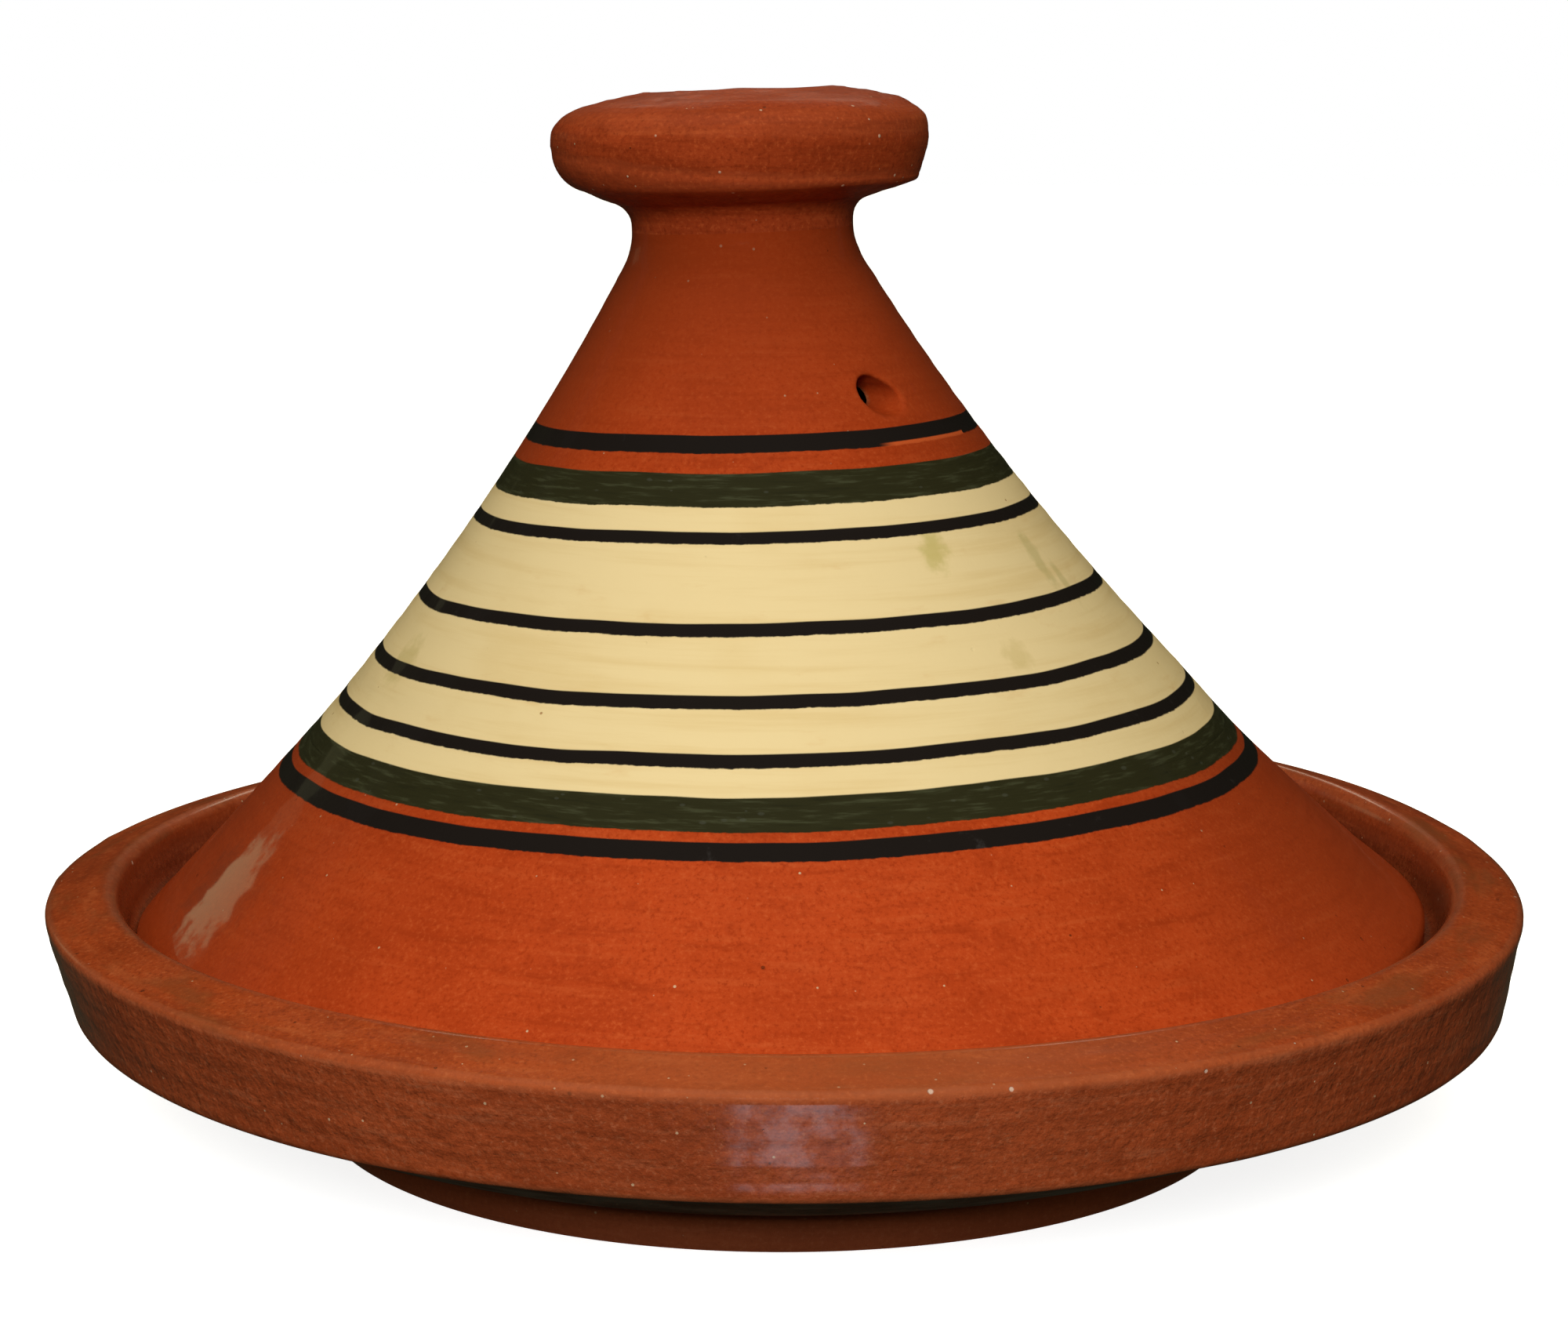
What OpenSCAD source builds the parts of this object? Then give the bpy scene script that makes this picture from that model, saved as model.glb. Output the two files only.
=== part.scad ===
// Tagine: a fired clay cooking dish with a tall conical lid that sits loose in a gallery in the rim.
// The origin is on the surface it stands on, under the centre of the dish. +Z is up, -Y is the front.

/* [Dish] */
// Diameter across the outside of the rim
rim_d = 307; // [290:1:330]
// Height of the outer edge of the rim above the table
rim_edge_z = 48.2; // [44:0.1:49]
// Height of the crest, the highest line of the rim
rim_crest_z = 51; // [50:0.5:54]
// Distance from the outer edge of the rim in to its crest
rim_crest_in = 12; // [10:0.5:14]
// Height of the outer wall under the rim
wall_h = 20.2; // [14:0.1:22]
// How much narrower the outer wall is at its lower edge, on the radius
wall_taper = 4; // [0:0.1:5]
// Diameter of the trimmed foot
foot_d = 198; // [180:1:200]
// Height of the side of the foot
foot_h = 6.5; // [4:0.5:9]
// Thickness of the floor of the dish
floor_t = 10; // [8:0.5:12]
// Diameter of the flat part of the floor, inside
floor_d = 168; // [150:1:172]
// Height of the floor of the gallery that the lid stands on
gallery_z = 40; // [38:0.5:41]
// Diameter of the wall of the gallery at its floor
gallery_d = 274; // [273.5:0.5:275]
// Diameter of the inner edge of the gallery
gallery_inner_d = 243; // [240:0.5:245]

/* [Lid] */
// Diameter of the lower edge of the lid
lid_d = 270; // [264:0.5:271]
// Height of the sharp line over the lower edge of the lid, along the lid's own axis
lid_edge_z = 42.5; // [42:0.1:45]
// Diameter of the lid where its neck starts
neck_base_d = 51.6; // [49:0.1:56]
// Height where the neck starts, along the lid's own axis
neck_base_z = 175; // [170:0.5:178]
// Hollow of the lid's side, halfway up, in from a straight cone
side_hollow = 7.9; // [0:0.1:9]
// Smallest diameter of the neck, where the knob is luted on
neck_d = 45.4; // [40:0.1:48]
// Height of the top of the neck, along the lid's own axis
neck_top_z = 184; // [182:0.5:188]
// Thickness of the lid's side, measured level
side_t = 9; // [7:0.5:11]
// Inside diameter of the lower edge of the lid
lid_mouth_d = 250; // [248:0.5:252]
// Height of the top of the hollow inside the lid, along the lid's own axis
hollow_top_z = 176; // [172:0.5:177]
// Diameter of the steam vent
vent_d = 8; // [5:0.5:10]
// Height of the steam vent, along the lid's own axis
vent_z = 151.5; // [140:0.5:156]
// Direction of the steam vent, round from the front towards +X
vent_turn = 41; // [0:1:360]

/* [Lean of the lid] */
// How far the hand-thrown cone leans towards -X, in degrees
lean = 2.2; // [0:0.1:2.5]
// How far the foot of the leaning axis is from the centre of the dish, towards -X
lean_foot_x = 2.8; // [0:0.1:4]
// Height at which the leaning axis is that far out
lean_foot_z = 48; // [40:1:55]

/* [Knob] */
// Diameter of the knob
knob_d = 77.4; // [70:0.2:84]
// Height of the top of the knob, along the lid's own axis
knob_top_z = 212; // [208:0.5:216]
// Diameter of the crest, the highest ring of the knob
knob_crest_d = 38; // [30:1:42]
// How much lower the top of the knob is at its edge than at its crest
knob_crown = 2.5; // [1:0.5:4]
// Radius of the round at the top edge of the knob
knob_top_round = 7.5; // [4:0.5:9]
// How much narrower the knob is at its lower edge, on the radius
knob_taper = 1.5; // [0:0.1:2.5]
// Radius of the round at the lower edge of the knob
knob_low_round = 3.5; // [2:0.5:4]
// Height of the lower edge of the knob, along the lid's own axis
knob_low_z = 192.4; // [190:0.1:194]
// How much lower the underside of the knob is beside the neck than at its edge
knob_under_drop = 3; // [1:0.5:4]
// Radius of the fillet between the neck and the underside of the knob
knob_fillet = 5; // [3:0.5:5]
// Depth of the shallow hollow in the top of the knob
knob_hollow = 3; // [1:0.5:4]

/* [Hidden] */
$fn = 180;

clay = [0.62, 0.29, 0.13];
cream = [0.86, 0.77, 0.56];
dark_clay = [0.52, 0.22, 0.11];

rim_r = rim_d / 2;
wall_low_z = rim_edge_z - wall_h;
wall_low_r = rim_r - wall_taper;
foot_r = foot_d / 2;
foot_edge = 1;            // round along the bottom of the foot
under_round = 2.5;        // round where the outer wall turns in under the dish
rim_edge_round = 1.5;     // round along the outer edge of the rim
crest_round = 3;          // round along the crest
gallery_round = 3;        // round where the gallery's wall meets its floor
ledge_round = 2.5;        // round along the inner edge of the gallery
bowl_rise = gallery_z - ledge_round - floor_t;
bowl_run = (gallery_inner_d - floor_d) / 2;
bowl_r = (bowl_run * bowl_run + bowl_rise * bowl_rise) / (2 * bowl_rise);

lid_r = lid_d / 2;
lid_edge_round = 2;       // round along the bottom of the lid's edge
neck_base_r = neck_base_d / 2;
neck_r = neck_d / 2;
knob_r = knob_d / 2;
knob_crest_r = knob_crest_d / 2;
knob_crest_round = 4;     // round along the crest of the knob
lid_reach = 12;           // how far below its edge line the lid's side is drawn before it is trimmed level

// Points along an arc, from angle a0 to angle a1, in n steps
function arc(centre, r, a0, a1, n) =
    [for (i = [0:n]) centre + r * [cos(a0 + (a1 - a0) * i / n), sin(a0 + (a1 - a0) * i / n)]];

// Radius of the lid's side at height z: a cone, hollowed a little halfway up
function side_r(z) =
    let (t = (z - lid_edge_z) / (neck_base_z - lid_edge_z))
    lid_r + (neck_base_r - lid_r) * t - 4 * side_hollow * t * (1 - t);

// Radius of the neck at height z, curving from the cone into the upright
function neck_curve_r(z) =
    let (t = (neck_top_z - z) / (neck_top_z - neck_base_z))
    neck_r + (neck_base_r - neck_r) * t * t;

// Stands its children on the leaning axis of the lid
module on_lean() {
    translate([-lean_foot_x, 0, lean_foot_z])
        rotate([0, -lean, 0])
            translate([0, 0, -lean_foot_z])
                children();
}

// Half section of the dish
module dish_section() {
    under_normal = -67;   // direction square to the underside, which rises from the foot to the wall
    wall_normal = -10;    // direction square to the outer wall, which leans out
    top_normal = 90 - atan((rim_crest_z - rim_edge_z) / rim_crest_in);   // square to the top of the rim
    bowl_turn = asin(bowl_run / bowl_r);
    polygon(concat(
        [[0, 0]],
        arc([foot_r - foot_edge, foot_edge], foot_edge, -90, 0, 4),
        [[foot_r, foot_h], [foot_r + 2, foot_h + 2]],
        arc([wall_low_r - under_round, wall_low_z + under_round], under_round,
            under_normal, wall_normal, 5),
        arc([rim_r - rim_edge_round, rim_edge_z - rim_edge_round], rim_edge_round,
            wall_normal, top_normal, 5),
        arc([rim_r - rim_crest_in, rim_crest_z - crest_round], crest_round, top_normal, 170, 8),
        arc([gallery_d / 2 - gallery_round, gallery_z + gallery_round], gallery_round, -10, -90, 6),
        arc([gallery_inner_d / 2 + ledge_round, gallery_z - ledge_round], ledge_round, 90, 180, 6),
        arc([floor_d / 2, floor_t + bowl_r], bowl_r, bowl_turn - 90, -90, 16),
        [[0, floor_t]]
    ));
}

module dish() {
    color(clay)
        rotate_extrude() dish_section();
}

// Half section of the lid's outside, on its own axis, longer at the bottom than the trimmed lid
module lid_outside_section() {
    low_z = lid_edge_z - lid_reach;
    steps = 24;
    polygon(concat(
        [[0, low_z]],
        [for (i = [0:steps]) let (z = low_z + (neck_base_z - low_z) * i / steps) [side_r(z), z]],
        [for (i = [1:6]) let (z = neck_base_z + (neck_top_z - neck_base_z) * i / 6) [neck_curve_r(z), z]],
        [[0, neck_top_z]]
    ));
}

// Half section of the hollow inside the lid, on its own axis
module lid_hollow_section() {
    low_z = lid_edge_z - lid_reach - 1;
    dome_r = 14;
    dome_start = 33;      // direction square to the lid's side where the dome starts
    side_end_z = hollow_top_z - dome_r + dome_r * sin(dome_start);
    dome_x = side_r(side_end_z) - side_t - dome_r * cos(dome_start);
    steps = 20;
    polygon(concat(
        [[0, low_z]],
        [for (i = [0:steps - 1]) let (z = low_z + (side_end_z - low_z) * i / steps) [side_r(z) - side_t, z]],
        arc([dome_x, hollow_top_z - dome_r], dome_r, dome_start, 90, 6),
        [[0, hollow_top_z]]
    ));
}

// Half section of the level trim that the lid's foot is cut to
module lid_trim_section() {
    polygon(concat(
        [[0, gallery_z]],
        arc([lid_r - lid_edge_round, gallery_z + lid_edge_round], lid_edge_round, -90, 0, 5),
        [[lid_r, neck_top_z + 10], [0, neck_top_z + 10]]
    ));
}

module vent() {
    vent_reach = 40;
    rotate([0, 0, vent_turn - 90])
        translate([side_r(vent_z) - vent_reach / 2, 0, vent_z])
            rotate([0, 90, 0])
                cylinder(d = vent_d, h = vent_reach);
}

module lid() {
    color(cream)
        difference() {
            intersection() {
                on_lean() rotate_extrude() lid_outside_section();
                rotate_extrude() lid_trim_section();
            }
            intersection() {
                on_lean() rotate_extrude() lid_hollow_section();
                cylinder(d = lid_mouth_d, h = neck_top_z);
            }
            on_lean() vent();
        }
}

// Half section of the knob, on the lid's own axis
module knob_section() {
    under_z = knob_low_z - knob_under_drop;
    low_r = knob_r - knob_taper;
    crown_normal = 79;        // direction square to the crowned top, which rises to the crest
    hollow_r = (knob_crest_r * knob_crest_r + knob_hollow * knob_hollow) / (2 * knob_hollow);
    hollow_turn = asin(knob_crest_r / hollow_r);
    hollow_start = 0.65 * hollow_turn - 90;   // a little way in from the crest
    polygon(concat(
        [[0, neck_top_z], [neck_r, neck_top_z]],
        arc([neck_r + knob_fillet, under_z - knob_fillet], knob_fillet, 180, 100, 8),
        arc([low_r - knob_low_round, knob_low_z + knob_low_round], knob_low_round, -75, 0, 6),
        arc([knob_r - knob_top_round, knob_top_z - knob_crown - knob_top_round], knob_top_round,
            0, crown_normal, 10),
        arc([knob_crest_r, knob_top_z - knob_crest_round], knob_crest_round,
            crown_normal, 90 + hollow_turn, 5),
        arc([0, knob_top_z - knob_hollow + hollow_r], hollow_r, hollow_start, -90, 12)
    ));
}

module knob() {
    color(dark_clay)
        on_lean() rotate_extrude() knob_section();
}

dish();
lid();
knob();
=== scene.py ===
"""The looks of a hand-thrown tagine: a dish, and a leaning lid with painted bands and a luted knob."""
import math

import bpy
import numpy as np
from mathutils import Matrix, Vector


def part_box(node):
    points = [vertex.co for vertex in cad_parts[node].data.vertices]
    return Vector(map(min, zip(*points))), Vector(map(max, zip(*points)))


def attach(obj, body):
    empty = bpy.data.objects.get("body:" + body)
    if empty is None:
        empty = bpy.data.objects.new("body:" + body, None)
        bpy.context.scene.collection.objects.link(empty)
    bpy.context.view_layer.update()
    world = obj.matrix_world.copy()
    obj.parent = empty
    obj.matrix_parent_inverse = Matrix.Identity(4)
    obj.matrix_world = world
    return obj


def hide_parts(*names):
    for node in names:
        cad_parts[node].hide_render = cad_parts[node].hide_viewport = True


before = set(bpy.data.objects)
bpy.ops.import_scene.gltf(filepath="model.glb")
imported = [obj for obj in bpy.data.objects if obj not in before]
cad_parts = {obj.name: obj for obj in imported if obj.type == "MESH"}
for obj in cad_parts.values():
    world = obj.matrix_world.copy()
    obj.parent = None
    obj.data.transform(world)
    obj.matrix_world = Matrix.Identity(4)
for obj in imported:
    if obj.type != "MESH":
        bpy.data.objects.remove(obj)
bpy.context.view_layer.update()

MM = 0.001          # sizes below are in millimetres; meshes are written in metres
COLUMNS = 360       # how many facets go round the dish and the lid
SHARP = math.radians(50)    # edges that turn more than this are shaded as a crease

# ---------------- sizes taken from the frame
dish_low, dish_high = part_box("dish")
lid_low, lid_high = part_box("lid")
rim_r = (dish_high.x - dish_low.x) / 2 / MM
crest_z = dish_high.z / MM
seat_z = lid_low.z / MM
lid_r = (lid_high.x - lid_low.x) / 2 / MM

# The lid and the knob stand on one axis, which leans towards -X
LEAN = math.radians(2.2)
LEAN_FOOT = np.array([-2.8, 0.0, 48.0])
LEAN_TURN = np.array([[math.cos(LEAN), 0.0, -math.sin(LEAN)],
                      [0.0, 1.0, 0.0],
                      [math.sin(LEAN), 0.0, math.cos(LEAN)]])
NECK_Z = 184.0


def stood_on_lean(points):
    """Moves points from the lid's own upright frame onto its leaning axis."""
    pivot = np.array([0.0, 0.0, LEAN_FOOT[2]])
    return (points - pivot) @ LEAN_TURN.T + LEAN_FOOT


# ---------------- sections
def arc(centre_r, centre_z, radius, start, stop, steps=8):
    """Points (r, z) along an arc, from angle start to angle stop in degrees."""
    turns = np.radians(np.linspace(start, stop, steps + 1))
    return [(centre_r + radius * math.cos(a), centre_z + radius * math.sin(a)) for a in turns]


def flowing(points, steps=8):
    """A smooth line of points through a few given ones."""
    p = [np.array(q, float) for q in points]
    p = [2 * p[0] - p[1]] + p + [2 * p[-1] - p[-2]]
    line = []
    for a, b, c, d in zip(p, p[1:], p[2:], p[3:]):
        for t in np.linspace(0, 1, steps, endpoint=False):
            line.append(tuple(0.5 * (2 * b + (c - a) * t + (2 * a - 5 * b + 4 * c - d) * t ** 2
                                     + (3 * b - a - 3 * c + d) * t ** 3)))
    return line + [tuple(p[-2])]


def lengths(line):
    """How far along a line each of its points is."""
    steps = np.linalg.norm(np.diff(line, axis=0), axis=1)
    return np.concatenate([[0.0], np.cumsum(steps)])


def set_out(points, count):
    """The same line with count points at an even spacing."""
    p = np.array(points, float)
    along = lengths(p)
    keep = np.concatenate([[True], np.diff(along) > 1e-9])
    wanted = np.linspace(0, along[-1], count)
    return np.stack([np.interp(wanted, along[keep], p[keep, i]) for i in (0, 1)], axis=1)


def evenly(points, spacing):
    return set_out(points, max(2, round(lengths(np.array(points, float))[-1] / spacing) + 1))


# ---------------- hand-made unevenness
def waves(angle, seed, lowest, highest, fade=1.0):
    """A smooth closed wave round the pot, about -1 to 1."""
    draw = np.random.RandomState(seed)
    total = np.zeros_like(angle, dtype=float)
    size = 0.0
    for k in range(lowest, highest + 1):
        weight = k ** -fade
        total += weight * draw.uniform(0.5, 1.0) * np.sin(k * angle + draw.uniform(0, 2 * math.pi))
        size += weight
    return total / size * 1.6


def throwing_rings(angle, along, seed, pitch):
    """Finger rings left by throwing: they climb as a slow spiral and come and go round the pot."""
    drift = 0.35 * waves(angle, seed, 1, 5) + angle / (2 * math.pi)
    depth = 0.6 + 0.4 * waves(angle + along / 37.0, seed + 1, 1, 4)
    coarse = np.sin(2 * math.pi * (along / pitch + drift))
    fine = np.sin(2 * math.pi * (along / (pitch * 0.37) - 2 * drift) + 1.3)
    return depth * (0.7 * coarse + 0.3 * fine)


def dents(angle, along, seed, count, spread, line_length, girth):
    """Small rounded hollows scattered over a surface, 0 to 1."""
    draw = np.random.RandomState(seed)
    total = np.zeros(np.broadcast(angle, along).shape)
    for _ in range(count):
        at_angle, at_along = draw.uniform(0, 2 * math.pi), draw.uniform(0, line_length)
        wide = spread * draw.uniform(0.6, 1.5)
        tall = wide * draw.uniform(0.5, 1.0)
        sideways = (np.mod(angle - at_angle + math.pi, 2 * math.pi) - math.pi) * girth
        total = np.maximum(total, draw.uniform(0.4, 1.0)
                           * np.exp(-(sideways / wide) ** 2 - ((along - at_along) / tall) ** 2))
    return total


def between(value, low, high):
    """0 below low, 1 above high, and smooth from one to the other."""
    t = np.clip((value - low) / (high - low), 0.0, 1.0)
    return t * t * (3 - 2 * t)


# ---------------- meshes
def section_normals(line):
    """Outward directions square to a section that runs anticlockwise round the clay."""
    step = np.gradient(line, axis=0)
    step /= np.maximum(np.linalg.norm(step, axis=-1, keepdims=True), 1e-9)
    return np.stack([step[..., 1], -step[..., 0]], axis=-1)


def ridges(line, reach):
    """How far a section turns outward at each point: 0 on a flat or hollow run, 1 on a tight edge."""
    tight_turn = 0.9             # in radians, within the reach
    step = np.diff(line, axis=0)
    heading = np.unwrap(np.arctan2(step[:, 1], step[:, 0]))
    along = lengths(line)
    turn = np.concatenate([[0.0], np.diff(heading), [0.0]])
    total = np.array([np.sum(turn[np.abs(along - a) <= reach]) for a in along])
    return np.clip(total / tight_turn, 0.0, 1.0)


class Skin:
    """Collects points and faces, then makes one mesh object."""

    def __init__(self, *marks):
        self.points = []
        self.faces = []
        self.marks = {name: [] for name in marks}
        self.count = 0

    def add(self, points, **marks):
        """Adds points, with a value for each mark (0 where none is given), and returns their numbers."""
        points = np.asarray(points, float).reshape(-1, 3)
        first = self.count
        self.points.append(points)
        for name, values in self.marks.items():
            given = np.asarray(marks.get(name, 0.0), float).reshape(-1)
            values.append(np.broadcast_to(given, (len(points),)))
        self.count += len(points)
        return np.arange(first, self.count)

    def sheet(self, ids, skip=None):
        """Quads over a closed grid of point numbers; skip is the window (rows, columns) left open."""
        rows, columns = ids.shape
        for i in range(rows - 1):
            for j in range(columns):
                if skip and skip[0] <= i < skip[1] and skip[2] <= j < skip[3]:
                    continue
                k = (j + 1) % columns
                self.faces.append((ids[i, j], ids[i, k], ids[i + 1, k], ids[i + 1, j]))

    def fan(self, centre, ring, flip):
        for a, b in zip(ring, np.roll(ring, -1)):
            self.faces.append((centre, b, a) if flip else (centre, a, b))

    def made(self, name, body, node):
        """The finished piece, riding on its body in place of its plain node."""
        mesh = bpy.data.meshes.new(name)
        points = np.concatenate(self.points) * MM
        mesh.from_pydata(points.tolist(), [], [tuple(int(i) for i in f) for f in self.faces])
        for mark, values in self.marks.items():
            attribute = mesh.attributes.new(mark, "FLOAT", "POINT")
            attribute.data.foreach_set("value", np.concatenate(values).astype(np.float32))
        mesh.shade_smooth()
        mesh.set_sharp_from_angle(angle=SHARP)
        mesh.update()
        piece = bpy.data.objects.new(name, mesh)
        bpy.context.collection.objects.link(piece)
        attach(piece, body)
        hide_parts(node)
        return piece


ANGLES = np.linspace(0, 2 * math.pi, COLUMNS, endpoint=False)


# ---------------- dish
FOOT_R, UNDER_Z = 99.0, 6.5
RIM_EDGE_Z, WALL_LOW_Z, WALL_TAPER = 48.2, 28.0, 4.0
UNDERSIDE, OUTSIDE, BOWL = 0, 1, 2        # the three runs of the section


def dish_line():
    """The dish's section in three runs: underneath, then wall, rim and gallery, then the bowl."""
    wall_low_r = rim_r - WALL_TAPER
    gallery_r, ledge_r = 137.0, 121.5
    floor_z, floor_r, bowl_r, bowl_turn = 10.0, 84.0, 39.4, 72.6
    low_round, edge_round, crest_round, gallery_round, ledge_round = 2.0, 1.6, 3.0, 3.0, 2.5
    under = [(0.0, 0.6), (FOOT_R - 7, 0.5), (FOOT_R - 4, 0.1)]
    under += arc(FOOT_R - 1.0, 1.0, 1.0, -90, 0, 4)
    under += [(FOOT_R + 0.1, UNDER_Z), (FOOT_R + 1.5, UNDER_Z + 1.6)]
    under += flowing([(FOOT_R + 3, UNDER_Z + 2.4), (FOOT_R + 20, 14.8),
                      (FOOT_R + 38, 22.6), (wall_low_r - 4.5, 26.6)], 6)
    outer = arc(wall_low_r - low_round, WALL_LOW_Z + 1.3, low_round, -65, -10, 8)
    outer += arc(rim_r - edge_round, RIM_EDGE_Z - edge_round, edge_round, -10, 76, 8)
    outer += arc(rim_r - 12.0, crest_z - crest_round, crest_round, 76, 170, 12)
    outer += arc(gallery_r - gallery_round, seat_z + gallery_round, gallery_round, -10, -90, 8)
    outer += arc(ledge_r + ledge_round, seat_z - ledge_round, ledge_round, 90, 180, 8)
    bowl = arc(floor_r, floor_z + bowl_r, bowl_r, bowl_turn - 90, -90, 24) + [(0.0, floor_z)]
    return [evenly(under, 2.4), evenly(outer, 0.85), evenly(bowl, 2.6)]


def make_dish():
    runs = dish_line()
    line = np.concatenate(runs)
    along = lengths(line)
    zone = np.repeat([UNDERSIDE, OUTSIDE, BOWL], [len(run) for run in runs])
    r, z = line[:, 0], line[:, 1]
    normal = section_normals(line)

    column = along[:, None]
    outside = (zone == OUTSIDE)[:, None] & (r > 138)[:, None]
    rings = 0.11 * throwing_rings(ANGLES, column, 11, 6.5)
    wobble = np.where(outside, 0.30, 0.12) * waves(ANGLES, 5, 2, 7)
    nicks = 0.40 * dents(ANGLES, column, 21, 46, 2.2, along[-1], rim_r) * outside
    lumps = 0.22 * dents(ANGLES, column, 23, 260, 4.5, along[-1], rim_r) * outside
    level = between(z, 1.2, 3.0) * between(r, 1.0, 8.0)
    seated = (r > 121) & (r < 136.6) & (z > 30) & (z < seat_z + 2)
    push = (rings + wobble + lumps - nicks) * (level * ~seated)[:, None]

    # the rim warped a little in drying: it stands highest at the back right
    from_high_side = np.mod(ANGLES - math.radians(42) + math.pi, 2 * math.pi) - math.pi
    rise = 0.3 + 3.6 * np.exp(-(from_high_side / 0.66) ** 2)
    lift = (between(z, 27, 46) * between(r, 135.5, 141))[:, None] * rise
    # and it is a little off the foot's centre, more so at the wall's lower edge
    low_on_wall = between(r, 120, 145) * (1 - between(z, 26, 46))
    off_centre = (0.9 * between(r, 100, 137) + low_on_wall)[:, None]
    ring_r = r[:, None] + normal[:, :1] * push
    ring_z = z[:, None] + normal[:, 1:] * push + lift
    grid = np.stack([ring_r * np.cos(ANGLES) + off_centre, ring_r * np.sin(ANGLES), ring_z], axis=2)

    def each(values):
        return np.repeat(np.asarray(values, float)[1:-1, None], COLUMNS, axis=1)

    skin = Skin("ridge", "under", "wall", "inside")
    under_rim = 1 - between(z, RIM_EDGE_Z - 2.0, RIM_EDGE_Z - 0.4)
    wall = (zone == OUTSIDE) * between(r, rim_r - 5.5, rim_r - 3) * under_rim
    inside = np.where(zone == BOWL, 1.0, (zone == OUTSIDE) * (1 - between(r, 137.5, 139.5)))
    ids = skin.add(grid[1:-1], ridge=each(ridges(line, 1.6)), under=each(zone == UNDERSIDE),
                   wall=each(wall), inside=each(inside)).reshape(len(line) - 2, COLUMNS)
    skin.sheet(ids)
    skin.fan(skin.add(grid[0, :1], under=1.0)[0], ids[0], True)
    skin.fan(skin.add(grid[-1, :1], inside=1.0)[0], ids[-1], False)
    return skin.made("Dish", "dish", "dish")


# ---------------- lid
EDGE_Z, NECK_BASE_Z = 42.5, 175.0
NECK_BASE_R, NECK_R = 25.8, 22.7
SIDE_HOLLOW, SIDE_T = 7.9, 9.0
HOLLOW_TOP, DOME_R, DOME_START = 176.0, 14.0, 33.0
MOUTH_R = 125.0
FOOT_EDGE = 2.6              # how far over its foot the lid's side starts
FOOT_FLARE = 0.9             # how much the side would go on widening for each mm down

VENT_Z = 151.5
VENT_ANGLE = math.radians(41.0 - 90.0)
VENT_R = (4.5, 3.9)          # across and up
VENT_WINDOW = 9.0            # half of the patch of wall that is drawn round the vent
VENT_ROUND, VENT_ROUND_INSIDE = 1.2, 0.6
VENT_TAPER = 0.66            # the hole narrows to this share of its mouth where it comes through


def side_r(z):
    """Radius of the outside of the lid at height z on its own axis."""
    t = (z - EDGE_Z) / (NECK_BASE_Z - EDGE_Z)
    cone = lid_r + (NECK_BASE_R - lid_r) * t - 4 * SIDE_HOLLOW * t * (1 - t)
    u = np.clip((NECK_Z - z) / (NECK_Z - NECK_BASE_Z), 0, None)
    neck = NECK_R + (NECK_BASE_R - NECK_R) * u * u
    return np.where(z > NECK_BASE_Z, neck, cone)


def round_grid(angle, z, r):
    angle, z, r = np.broadcast_arrays(np.asarray(angle, float), np.asarray(z, float), np.asarray(r, float))
    return stood_on_lean(np.stack([r * np.cos(angle), r * np.sin(angle), z], axis=-1))


def outer_point(angle, z):
    """A point on the outside of the lid, stood on the leaning axis."""
    rings = 0.10 * throwing_rings(angle, z * 1.35, 31, 7.5)
    wobble = 0.28 * waves(angle + z / 400.0, 35, 2, 6)
    sway = -0.9 * np.cos(angle) * (1 - between(z, 72, 92)) - 0.3 * np.exp(-((z - 77) / 14.0) ** 2)
    free = between(NECK_Z - z, 0, 6) * between(z, EDGE_Z, EDGE_Z + 7)
    return round_grid(angle, z, side_r(z) + (rings + wobble + sway) * free)


def inner_point(angle, z):
    """A point on the inside of the lid, where the finger rings are deeper."""
    rings = 0.30 * throwing_rings(angle, z * 1.35, 41, 9.0) * between(z, 50, 66)
    return round_grid(angle, z, side_r(z) - SIDE_T + rings)


def trimmed(points, radius):
    """The same points, none farther out from the middle of the pot than a radius."""
    reach = np.linalg.norm(points[..., :2], axis=-1, keepdims=True)
    shrink = np.minimum(1.0, radius / reach)
    return points * np.concatenate([shrink, shrink, np.ones_like(shrink)], axis=-1)


def rows_up(count, thickness, top):
    """Heights on the leaning axis for rows that start level, just over the foot, and end at the top."""
    start = np.full(COLUMNS, EDGE_Z)
    for _ in range(4):
        tilt_rise = (side_r(start) - thickness) * np.cos(ANGLES) * math.sin(LEAN)
        start = LEAN_FOOT[2] + (seat_z + FOOT_EDGE - LEAN_FOOT[2] - tilt_rise) / math.cos(LEAN)
    share = np.linspace(0, 1, count)[:, None]
    return start * (1 - share) + top * share


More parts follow.
